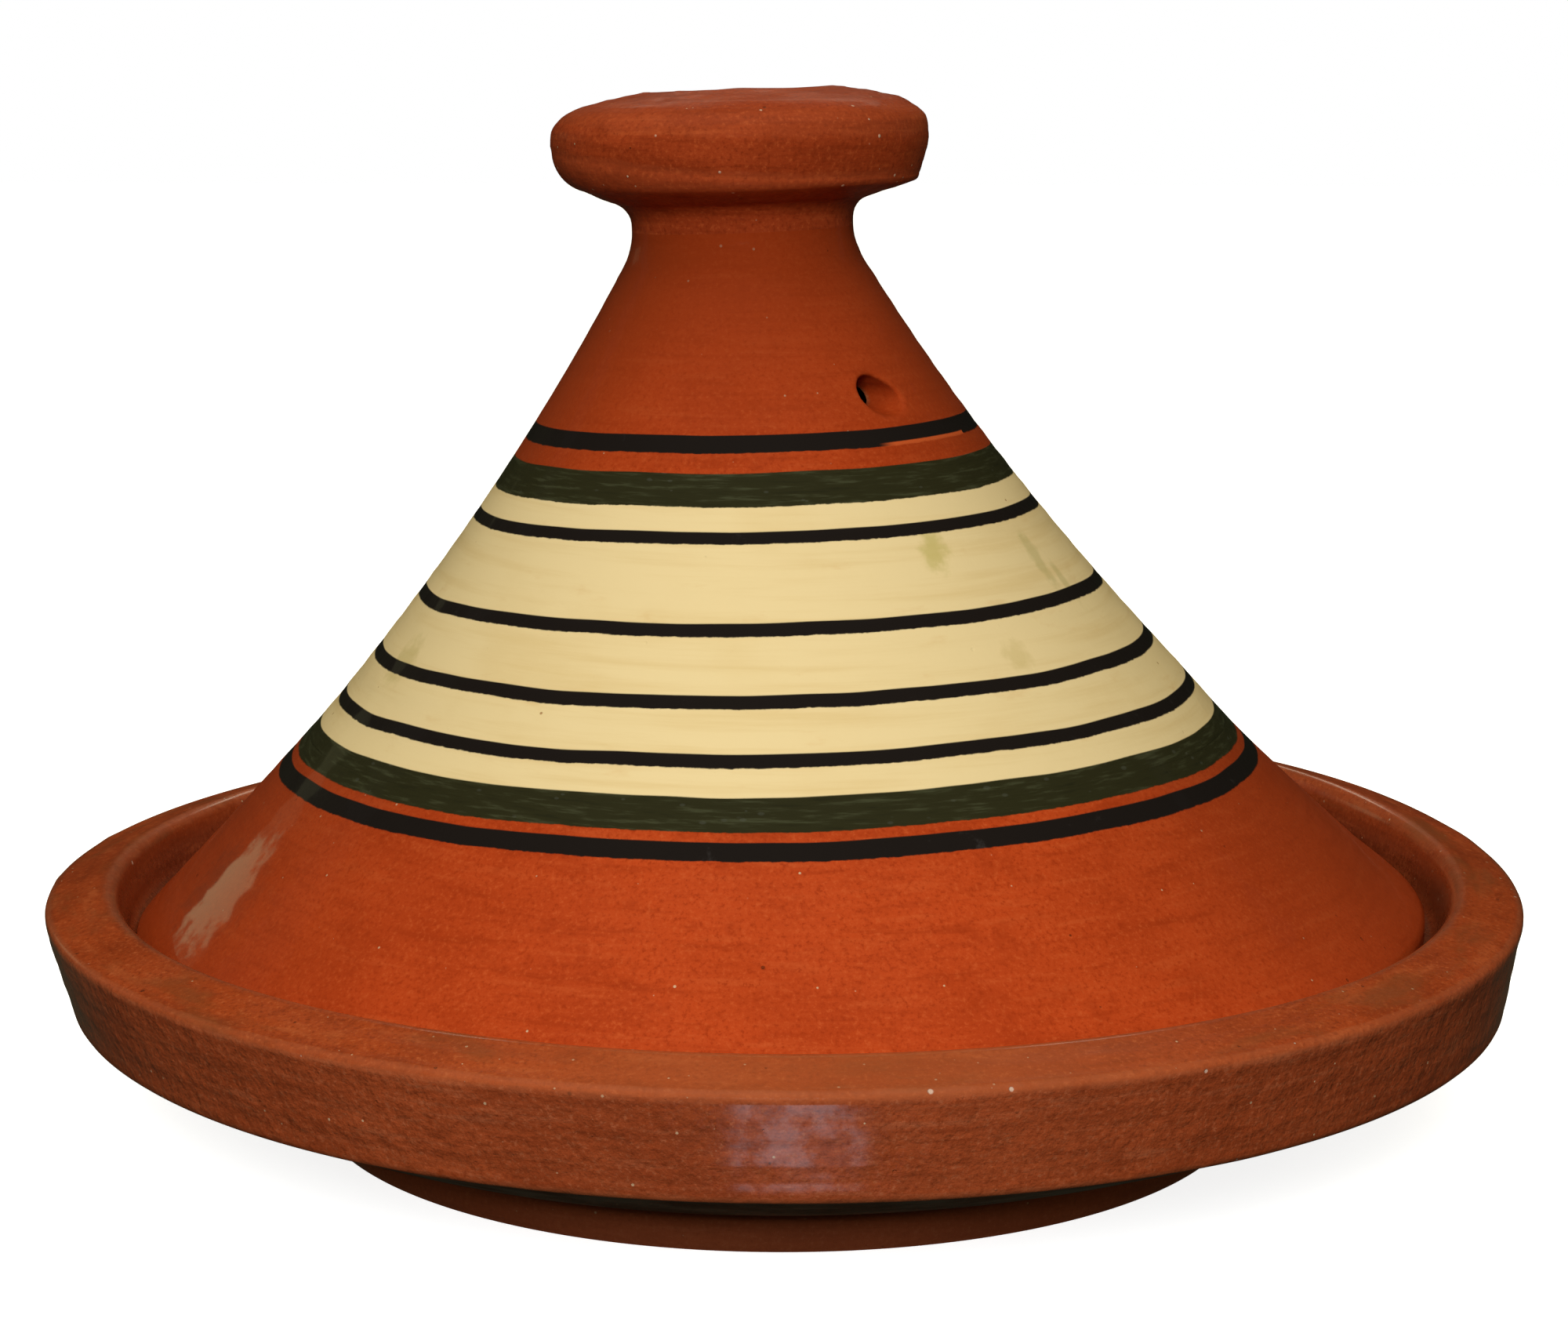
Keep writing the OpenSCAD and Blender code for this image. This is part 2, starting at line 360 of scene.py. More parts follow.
def make_lid():
    skin = Skin("ridge", "inside")
    row_step = 1.16
    zs = rows_up(round((NECK_Z - EDGE_Z) / row_step), 0.0, NECK_Z)
    side_end = HOLLOW_TOP - DOME_R + DOME_R * math.sin(math.radians(DOME_START))
    inner_zs = rows_up(round((side_end - EDGE_Z) / row_step), SIDE_T, side_end)
    outer = trimmed(outer_point(ANGLES, zs), lid_r)
    inner = trimmed(inner_point(ANGLES, inner_zs), MOUTH_R)
    outer_ids = skin.add(outer).reshape(len(zs), COLUMNS)
    inner_ids = skin.add(inner, inside=1.0).reshape(len(inner_zs), COLUMNS)

    # the windows in the two skins that the vent's patch fills
    across = max(4, 2 * round(VENT_WINDOW / side_r(VENT_Z) / (2 * math.pi / COLUMNS)))
    first = round(np.mod(VENT_ANGLE, 2 * math.pi) / (2 * math.pi) * COLUMNS) - across // 2
    tall = 2 * round(VENT_WINDOW / row_step)
    middle = first + across // 2
    row_at = int(np.searchsorted(zs[:, middle], VENT_Z)) - tall // 2
    inner_at = int(np.searchsorted(inner_zs[:, middle], VENT_Z)) - tall // 2
    flipped_at = len(inner_zs) - 1 - inner_at
    skin.sheet(outer_ids, skip=(row_at, row_at + tall, first, first + across))
    skin.sheet(inner_ids[::-1], skip=(flipped_at - tall, flipped_at, first, first + across))

    def border(ids, row):
        """The window's edge points, anticlockwise seen from outside."""
        low = [ids[row, first + j] for j in range(across)]
        right = [ids[row + i, first + across] for i in range(tall)]
        high = [ids[row + tall, first + across - j] for j in range(across)]
        left = [ids[row + tall - i, first] for i in range(tall)]
        return np.array(low + right + high + left)

    def flat_place(points):
        """Across and up from the vent's axis, in the lid's own frame."""
        own = (points - LEAN_FOOT) @ LEAN_TURN
        across_way = np.array([-math.sin(VENT_ANGLE), math.cos(VENT_ANGLE), 0.0])
        return np.stack([own @ across_way, own[:, 2] + LEAN_FOOT[2] - VENT_Z], axis=1)

    outer_border, inner_border = border(outer_ids, row_at), border(inner_ids, inner_at)
    points = np.concatenate(skin.points)
    edge_places = flat_place(points[outer_border])
    bearings = np.arctan2(edge_places[:, 1], edge_places[:, 0])
    slant = 1 + 0.13 * np.cos(2 * (bearings + math.radians(38))) + 0.03 * np.sin(3 * bearings + 2.0)
    mouth = np.stack([VENT_R[0] * np.cos(bearings), VENT_R[1] * np.sin(bearings)], axis=1) * slant[:, None]
    way = mouth / np.linalg.norm(mouth, axis=1, keepdims=True)
    inward = stood_on_lean(np.array([[-math.cos(VENT_ANGLE), -math.sin(VENT_ANGLE), 0.0]])) \
        - stood_on_lean(np.zeros((1, 3)))

    def patch(border_ids, point_at, thickness, turn_in, sign, share):
        """Rings from a window's edge in to the vent; share is the hole's size against its mouth's."""
        hole = mouth * share

        def on_wall(place):
            z = VENT_Z + place[:, 1]
            sideways = np.arcsin(np.clip(place[:, 0] / (side_r(z) - thickness), -0.99, 0.99))
            return point_at(VENT_ANGLE + sideways, z)

        places = flat_place(points[border_ids])
        rim_place = hole + way * turn_in
        rings = [border_ids]
        for t in (0.2, 0.4, 0.58, 0.74, 0.88, 1.0):
            rings.append(skin.add(on_wall(places * (1 - t) + rim_place * t), inside=float(sign < 0)))
        for turn in np.radians([18, 36, 54, 72, 90]):
            rolled = on_wall(hole + way * turn_in * (1 - math.sin(turn)))
            rings.append(skin.add(rolled + sign * inward * turn_in * (1 - math.cos(turn)),
                                  ridge=0.4, inside=float(sign < 0)))
        return rings

    outer_rings = patch(outer_border, outer_point, 0.0, VENT_ROUND, 1.0, 1.0)
    inner_rings = patch(inner_border, inner_point, SIDE_T, VENT_ROUND_INSIDE, -1.0, VENT_TAPER)
    points = np.concatenate(skin.points)
    start, stop = points[outer_rings[-1]], points[inner_rings[-1]]
    throat = [skin.add(start * (1 - t) + stop * t) for t in np.linspace(0, 1, 9)[1:-1]]
    rings = outer_rings + throat + inner_rings[::-1]
    for a, b in zip(rings, rings[1:]):
        for i in range(len(a)):
            j = (i + 1) % len(a)
            skin.faces.append((a[i], a[j], b[j], b[i]))

    def flat_rings(line, stand, **marks):
        ring = np.array([[[r * math.cos(a), r * math.sin(a), z] for a in ANGLES] for r, z in line])
        return skin.add(stand(ring), **marks).reshape(len(line), COLUMNS)

    # the level foot of the lid, from its outer edge round to its mouth
    foot_line = arc(lid_r - 2.0, seat_z + 2.0, 2.0, 0, -90, 6)
    foot_line += [(lid_r - 5.0, seat_z), (MOUTH_R + 3.5, seat_z)]
    foot_line += arc(MOUTH_R + 1.0, seat_z + 1.0, 1.0, -90, -180, 4)
    low_edge = np.linalg.norm(outer[0, :, :2], axis=1)

    def under_side(ring):
        """Keeps the foot's rings inside the side that comes down to them."""
        room = low_edge + (seat_z + FOOT_EDGE - ring[:, :, 2]) * FOOT_FLARE
        shrink = np.minimum(1.0, room / np.linalg.norm(ring[:, :, :2], axis=2))
        return ring * np.stack([shrink, shrink, np.ones_like(shrink)], axis=2)

    foot_ids = flat_rings(foot_line, under_side, ridge=0.5)
    skin.sheet(np.vstack([inner_ids[:1], foot_ids[::-1], outer_ids[:1]]))

    # the domed top of the hollow, and the flat joint under the knob
    dome_x = float(side_r(np.array(side_end))) - SIDE_T - DOME_R * math.cos(math.radians(DOME_START))
    dome_line = arc(dome_x, HOLLOW_TOP - DOME_R, DOME_R, DOME_START, 90, 8)[1:]
    dome_line += [(dome_x * 0.5, HOLLOW_TOP)]
    dome_ids = flat_rings(dome_line, stood_on_lean, inside=1.0)
    skin.sheet(np.vstack([inner_ids[-1:], dome_ids])[::-1])
    skin.fan(skin.add(stood_on_lean(np.array([[0, 0, HOLLOW_TOP]])), inside=1.0)[0], dome_ids[-1], True)
    skin.fan(skin.add(stood_on_lean(np.array([[0, 0, NECK_Z]])))[0], outer_ids[-1], False)
    return skin.made("Lid", "lid", "lid")


# ---------------- knob
KNOB_R, KNOB_TOP_Z, KNOB_LOW_Z = 38.6, 212.0, 192.4


def knob_line(taper, low_round, under_drop, fillet, hollow):
    """One side of the knob's section, from the neck out, up and over to the middle of its top."""
    under_z = KNOB_LOW_Z - under_drop
    low_r, start_z, widest_z = KNOB_R - taper, KNOB_LOW_Z + low_round, KNOB_TOP_Z - 9.5
    parts = [[(NECK_R, NECK_Z)] + arc(NECK_R + fillet, under_z - fillet, fillet, 180, 100, 10),
             arc(low_r - low_round, start_z, low_round, -75, -8, 10),
             flowing([(low_r, start_z), (KNOB_R - taper * 0.3, (start_z + widest_z) / 2),
                      (KNOB_R, widest_z), (KNOB_R - 0.9, KNOB_TOP_Z - 6.0),
                      (KNOB_R - 5.2, KNOB_TOP_Z - 2.9), (26.5, KNOB_TOP_Z - 1.2), (19.5, KNOB_TOP_Z)], 6),
             flowing([(18.5, KNOB_TOP_Z), (15.0, KNOB_TOP_Z - hollow * 0.25),
                      (9.0, KNOB_TOP_Z - hollow * 0.8), (0.0, KNOB_TOP_Z - hollow)], 6)]
    parts = [set_out(part, count) for part, count in zip(parts, (10, 12, 44, 22))]
    line = []
    for a, b, steps in zip(parts, parts[1:], (8, 3, 3)):
        line += [a, a[-1] + (b[0] - a[-1]) * np.linspace(0, 1, steps)[1:-1, None]]
    return np.concatenate(line + [parts[-1]])


def make_knob():
    skin = Skin("ridge")
    columns = 300
    angles = np.linspace(0, 2 * math.pi, columns, endpoint=False)
    # hand-pressed: its left side is fuller and rounder underneath than its right
    right = knob_line(taper=2.2, low_round=1.6, under_drop=2.4, fillet=4.5, hollow=3.2)
    left = knob_line(taper=0.2, low_round=8.5, under_drop=2.2, fillet=5.0, hollow=3.2)
    leftness = (((1 - np.cos(angles)) / 2) ** 2.5)[None, :, None]
    line = right[:, None, :] * (1 - leftness) + left[:, None, :] * leftness
    along = lengths(right)[:, None]
    push = 0.12 * throwing_rings(angles, along, 51, 6.0) \
        + 0.25 * waves(angles, 55, 2, 6) \
        - 0.40 * dents(angles, along, 57, 16, 3.0, along[-1, 0], KNOB_R) \
        + 0.16 * dents(angles, along, 59, 90, 4.0, along[-1, 0], KNOB_R)
    push = push * between(along, 0.0, 5.0) * np.minimum(1, line[:, :, 0] / 8)
    normal = section_normals(line)
    r = line[:, :, 0] + normal[:, :, 0] * push
    z = line[:, :, 1] + normal[:, :, 1] * push
    grid = stood_on_lean(np.stack([r * np.cos(angles), r * np.sin(angles), z], axis=2))
    marks = np.repeat(ridges(right, 3.0)[:-1, None], columns, axis=1)
    ids = skin.add(grid[:-1], ridge=marks).reshape(len(right) - 1, columns)
    skin.sheet(ids)
    skin.fan(skin.add(grid[-1, :1])[0], ids[-1], False)
    skin.fan(skin.add(stood_on_lean(np.array([[0, 0, NECK_Z]])))[0], ids[0], True)
    return skin.made("Knob", "lid", "knob")


dish = make_dish()
lid = make_lid()
knob = make_knob()


# ---------------- building materials
class Wiring:
    """Lays out one node tree; each call adds a node and gives back its output."""

    def __init__(self, tree):
        self.tree = tree

    def feed(self, socket, value):
        if isinstance(value, bpy.types.NodeSocket):
            self.tree.links.new(value, socket)
        elif socket.type == "RGBA":
            socket.default_value = (*value, 1.0)
        else:
            socket.default_value = value

    def put(self, kind, values=None, **settings):
        node = self.tree.nodes.new(kind)
        for name, value in settings.items():
            setattr(node, name, value)
        for name, value in (values or {}).items():
            self.feed(node.inputs[name], value)
        return node

    def maths(self, operation, *values):
        node = self.put("ShaderNodeMath", operation=operation)
        for socket, value in zip(node.inputs, values):
            self.feed(socket, value)
        return node.outputs[0]

    def times(self, one, other):
        return self.maths("MULTIPLY", one, other)

    def scaled(self, value, factor, step):
        return self.maths("MULTIPLY_ADD", value, factor, step)

    def along(self, vector, way):
        """How far a place lies along a direction."""
        node = self.put("ShaderNodeVectorMath", {0: vector, 1: way}, operation="DOT_PRODUCT")
        return node.outputs["Value"]

    def stretched(self, vector, scale):
        return self.put("ShaderNodeVectorMath", {0: vector, 1: scale}, operation="MULTIPLY").outputs[0]

    def moved(self, vector, step):
        return self.put("ShaderNodeVectorMath", {0: vector, 1: step}, operation="ADD").outputs[0]

    def span(self, value, low, high, start=0.0, stop=1.0):
        """Runs smoothly from start to stop as value goes from low to high."""
        node = self.put("ShaderNodeMapRange", interpolation_type="SMOOTHSTEP")
        for socket, given in zip(node.inputs, (value, low, high, start, stop)):
            self.feed(socket, given)
        return node.outputs[0]

    def over(self, share, under, top, way="MIX"):
        """One colour laid over another."""
        node = self.put("ShaderNodeMix", data_type="RGBA", blend_type=way)
        self.feed(node.inputs[0], share)
        self.feed(node.inputs[6], under)
        self.feed(node.inputs[7], top)
        return node.outputs[2]

    def cloud(self, place, size, detail=3.0, rough=0.55):
        """Soft noise, 0 to 1 about 0.5, with lumps of a size in millimetres."""
        node = self.put("ShaderNodeTexNoise", {"Vector": place, "Detail": detail, "Roughness": rough})
        self.feed(node.inputs["Scale"], self.maths("DIVIDE", 1.0, size)
                  if isinstance(size, bpy.types.NodeSocket) else 1.0 / size)
        return node.outputs["Fac"]

    def effect(self, group, **values):
        """Places a shared effect; a socket's name is written with _ for each space."""
        node = self.put("ShaderNodeGroup", node_tree=group)
        for name, value in values.items():
            self.feed(node.inputs[name.replace("_", " ")], value)
        return node.outputs


def shared_effect(name, takes, gives):
    """Starts a node group with named sockets: numbers, unless their kind is given as in 'Place:Vector'."""
    tree = bpy.data.node_groups.new(name, "ShaderNodeTree")
    for words, way in ((takes, "INPUT"), (gives, "OUTPUT")):
        for word in words:
            label, _, kind = word.partition(":")
            tree.interface.new_socket(name=label, in_out=way, socket_type="NodeSocket" + (kind or "Float"))
    wiring = Wiring(tree)
    return wiring, wiring.put("NodeGroupInput").outputs, wiring.put("NodeGroupOutput").inputs


# ---------------- shared effects
def place_on_the_pot():
    """Millimetres, degrees round from the front to the right, and distance from the middle."""
    w, given, result = shared_effect("Place on the Pot", ["Vector:Vector"],
                                     ["Place:Vector", "Bearing", "Reach"])
    place = w.stretched(given["Vector"], (1 / MM,) * 3)
    parts = w.put("ShaderNodeSeparateXYZ", {0: place}).outputs
    bearing = w.maths("ARCTAN2", parts["X"], w.times(parts["Y"], -1.0))
    flat = w.stretched(place, (1.0, 1.0, 0.0))
    w.feed(result["Place"], place)
    w.feed(result["Bearing"], w.maths("DEGREES", bearing))
    w.feed(result["Reach"], w.put("ShaderNodeVectorMath", {0: flat}, operation="LENGTH").outputs["Value"])
    return w.tree


def wheel_streaks():
    """Fine level streaks left by a sponge or a brush held to the turning pot."""
    w, given, result = shared_effect("Wheel Streaks", ["Place:Vector", "Length", "Width"],
                                     ["Value"])
    parts = w.put("ShaderNodeSeparateXYZ", {0: given["Place"]}).outputs
    long = [w.maths("DIVIDE", parts[name], given["Length"]) for name in ("X", "Y")]
    tall = w.maths("DIVIDE", parts["Z"], given["Width"])
    drawn_out = w.put("ShaderNodeCombineXYZ", {"X": long[0], "Y": long[1], "Z": tall}).outputs[0]
    w.feed(result["Value"], w.cloud(drawn_out, 1.0, 4.0, 0.6))
    return w.tree


def scattered_specks():
    """Separate small round specks: grit, pinholes or flecks."""
    w, given, result = shared_effect("Scattered Specks", ["Place:Vector", "Pitch", "Size", "Share"],
                                     ["Mask"])
    scale = w.maths("DIVIDE", 1.0, given["Pitch"])
    cells = w.put("ShaderNodeTexVoronoi", {"Vector": given["Place"], "Scale": scale})
    chance = w.put("ShaderNodeSeparateXYZ", {0: cells.outputs["Color"]}).outputs
    size = w.times(given["Size"], w.span(chance["Y"], 0.0, 1.0, 0.5, 1.3))
    off = w.times(cells.outputs["Distance"], given["Pitch"])
    round_speck = w.span(w.maths("DIVIDE", off, size), 0.6, 1.1, 1.0, 0.0)
    chosen = w.maths("LESS_THAN", chance["X"], given["Share"])
    w.feed(result["Mask"], w.times(round_speck, chosen))
    return w.tree


def painted_band():
    """A band of colour painted while the lid turned: its lower edge has the small teeth of the brush."""
    w, given, result = shared_effect("Painted Band", ["Height", "Top", "Foot", "Waver", "Teeth"], ["Mask"])
    height = w.maths("ADD", given["Height"], given["Waver"])
    blur = 0.12
    under_top = w.span(w.maths("SUBTRACT", given["Top"], height), -blur, blur)
    toothed = w.maths("ADD", height, given["Teeth"])
    over_foot = w.span(w.maths("SUBTRACT", toothed, given["Foot"]), -blur, blur)
    w.feed(result["Mask"], w.times(under_top, over_foot))
    return w.tree


def faint_stain():
    """One soft-edged patch at a bearing and a height."""
    w, given, result = shared_effect("Faint Stain", ["Place:Vector", "Bearing", "Height", "At Bearing",
                                                     "At Height", "Width", "Tallness"], ["Mask"])
    side = w.maths("DIVIDE", w.maths("SUBTRACT", given["Bearing"], given["At Bearing"]), given["Width"])
    up = w.maths("DIVIDE", w.maths("SUBTRACT", given["Height"], given["At Height"]), given["Tallness"])
    off = w.maths("SQRT", w.maths("ADD", w.maths("POWER", side, 2.0), w.maths("POWER", up, 2.0)))
    ragged = w.maths("ADD", off, w.scaled(w.cloud(given["Place"], 3.0), 1.6, -0.8))
    w.feed(result["Mask"], w.span(ragged, 0.35, 1.25, 1.0, 0.0))
    return w.tree


def fired_clay(specks, streaks):
    """Red earthenware: cloudy and streaked from the fire and the wheel, with pale grit and dark pits."""
    w, given, result = shared_effect("Fired Clay",
                                     ["Place:Vector", "Clay:Color", "Dark:Color", "Pale:Color", "Grit"],
                                     ["Color:Color", "Height"])
    pale_grit, dark_pit = (0.62, 0.45, 0.28), (0.05, 0.012, 0.004)
    place = given["Place"]
    clouds = w.span(w.cloud(place, 26.0, 4.0), 0.36, 0.68)
    colour = w.over(w.times(clouds, 0.45), given["Clay"], given["Dark"])
    drawn = w.effect(streaks, Place=place, Length=22.0, Width=1.6)["Value"]
    colour = w.over(w.span(drawn, 0.50, 0.72, 0.0, 0.60), colour, given["Dark"])
    colour = w.over(w.span(drawn, 0.47, 0.28, 0.0, 0.42), colour, given["Pale"])
    grain = w.cloud(place, 0.95, 3.0, 0.72)
    colour = w.over(w.span(grain, 0.50, 0.70, 0.0, 0.80), colour, given["Dark"])
    colour = w.over(w.span(grain, 0.47, 0.30, 0.0, 0.65), colour, given["Pale"])
    mottle = w.cloud(place, 5.5, 3.0, 0.65)
    colour = w.over(w.span(mottle, 0.52, 0.72, 0.0, 0.40), colour, given["Dark"])
    grit = w.effect(specks, Place=place, Pitch=3.2, Size=0.25, Share=w.times(given["Grit"], 0.55))
    pits = w.effect(specks, Place=w.moved(place, (31.0, 17.0, 5.0)), Pitch=5.5, Size=0.34, Share=0.35)
    colour = w.over(w.times(grit["Mask"], 0.75), colour, pale_grit)
    colour = w.over(w.times(pits["Mask"], 0.65), colour, dark_pit)
    rough = w.times(w.maths("SUBTRACT", grain, 0.5), 0.06)
    rough = w.scaled(w.maths("SUBTRACT", drawn, 0.5), 0.10, rough)
    rough = w.scaled(grit["Mask"], 0.07, rough)
    w.feed(result["Color"], colour)
    w.feed(result["Height"], w.scaled(pits["Mask"], -0.16, rough))
    return w.tree


def rubbed_edge():
    """Where handling has worn a turned edge, broken up by noise."""
    w, given, result = shared_effect("Rubbed Edge", ["Place:Vector", "Ridge", "Amount"], ["Mask"])
    broken = w.scaled(w.cloud(given["Place"], 5.0, 5.0, 0.7), 1.3, -0.65)
    worn = w.span(w.maths("ADD", given["Ridge"], broken), 0.55, 1.05)
    w.feed(result["Mask"], w.times(worn, given["Amount"]))
    return w.tree


def glaze_skin():
    """A thin glaze: mostly even, duller in clouds, with a faint orange-peel surface."""
    w, given, result = shared_effect("Glaze Skin", ["Place:Vector", "Shiny", "Dull"],
                                     ["Roughness", "Height"])
    patchy = w.span(w.cloud(given["Place"], 14.0, 5.0, 0.6), 0.38, 0.66)
    spread = w.maths("SUBTRACT", given["Dull"], given["Shiny"])
    peel = w.maths("SUBTRACT", w.cloud(given["Place"], 2.4, 2.0), 0.5)
    w.feed(result["Roughness"], w.scaled(patchy, spread, given["Shiny"]))
    w.feed(result["Height"], w.times(peel, 0.05))
    return w.tree


place_group = place_on_the_pot()
streak_group = wheel_streaks()
speck_group = scattered_specks()
band_group = painted_band()
stain_group = faint_stain()
clay_group = fired_clay(speck_group, streak_group)
wear_group = rubbed_edge()
glaze_group = glaze_skin()


def started(name):
    """A new material: its wiring, its shader, and the effect that says where on the pot a point is."""
    material = bpy.data.materials.new(name)
    material.use_nodes = True
    w = Wiring(material.node_tree)
    place = w.effect(place_group, Vector=w.put("ShaderNodeTexCoord").outputs["Object"])
    return material, w, material.node_tree.nodes["Principled BSDF"], place


def marked(w, name):
    """A value that the mesh carries at each point."""
    return w.put("ShaderNodeAttribute", attribute_name=name).outputs["Fac"]


def surfaced(w, shader, colour, roughness, height, specular, coat, coat_roughness):
    """Joins the finished colour, gloss and relief to the shader; height is in millimetres."""
    bump = w.put("ShaderNodeBump", {"Strength": 1.0, "Distance": MM, "Height": height})
    for socket, value in (("Base Color", colour), ("Roughness", roughness),
                          ("Normal", bump.outputs["Normal"]), ("Specular IOR Level", specular),
                          ("Coat Weight", coat), ("Coat Roughness", coat_roughness)):
        w.feed(shader.inputs[socket], value)


# ---------------- finishes
CLAY, CLAY_DARK, CLAY_PALE = (0.445, 0.054, 0.0095), (0.300, 0.030, 0.0040), (0.50, 0.085, 0.020)
CREAM, CREAM_DEEP, CREAM_OCHRE = (0.75, 0.60, 0.33), (0.66, 0.49, 0.23), (0.60, 0.36, 0.13)
BLACK, BLACK_SCUFF = (0.012, 0.009, 0.008), (0.045, 0.040, 0.040)
GREEN, GREEN_FLECK = (0.024, 0.023, 0.009), (0.085, 0.092, 0.075)
GREEN_THIN, GREEN_THICK = (0.052, 0.056, 0.028), (0.016, 0.016, 0.007)
# the middle one of these is painted shade for the lid's sides
CLAY_HIGH, CLAY_SIDE_SHADE, RUST = (0.240, 0.032, 0.0060), (0.260, 0.034, 0.0060), (0.30, 0.13, 0.035)
KNOB_WORN, KNOB_CRUMB = (0.40, 0.095, 0.035), (0.66, 0.48, 0.34)
# the last of these is painted shade for the ends of the dish's wall
RIM_POOLED, RIM_FRONT_PALE, WALL_END_SHADE = (0.20, 0.050, 0.013), (0.37, 0.090, 0.030), (0.075, 0.040, 0.016)
FOOT_CLAY, DISH_WORN, DISH_CHIP = (0.26, 0.075, 0.034), (0.38, 0.110, 0.045), (0.62, 0.45, 0.36)
UP = (0.0, 0.0, 1.0)
FRONT_BEARING = 4.0                          # the bearing of the dish's front, in degrees
BAND_TILT_LOW_Z = 75.0                       # height at which the bands' tilt is stated
BAND_TILT, BAND_TILT_RISE = 0.0159, 0.000168     # sideways slope there, and its growth for each mm up
BAND_DIP = 0.0059                            # slope from front to back

# top and foot of each painted band, in millimetres up the lid
BLACK_BANDS = [(146.0, 142.7), (128.6, 126.4), (112.8, 110.5), (100.8, 98.5), (91.3, 89.1), (77.65, 74.7)]
GREEN_BANDS = [(139.1, 133.0), (84.6, 79.2)]
CREAM_BAND = (134.0, 82.0)
JOIN_LINE = (143.3, 142.6)


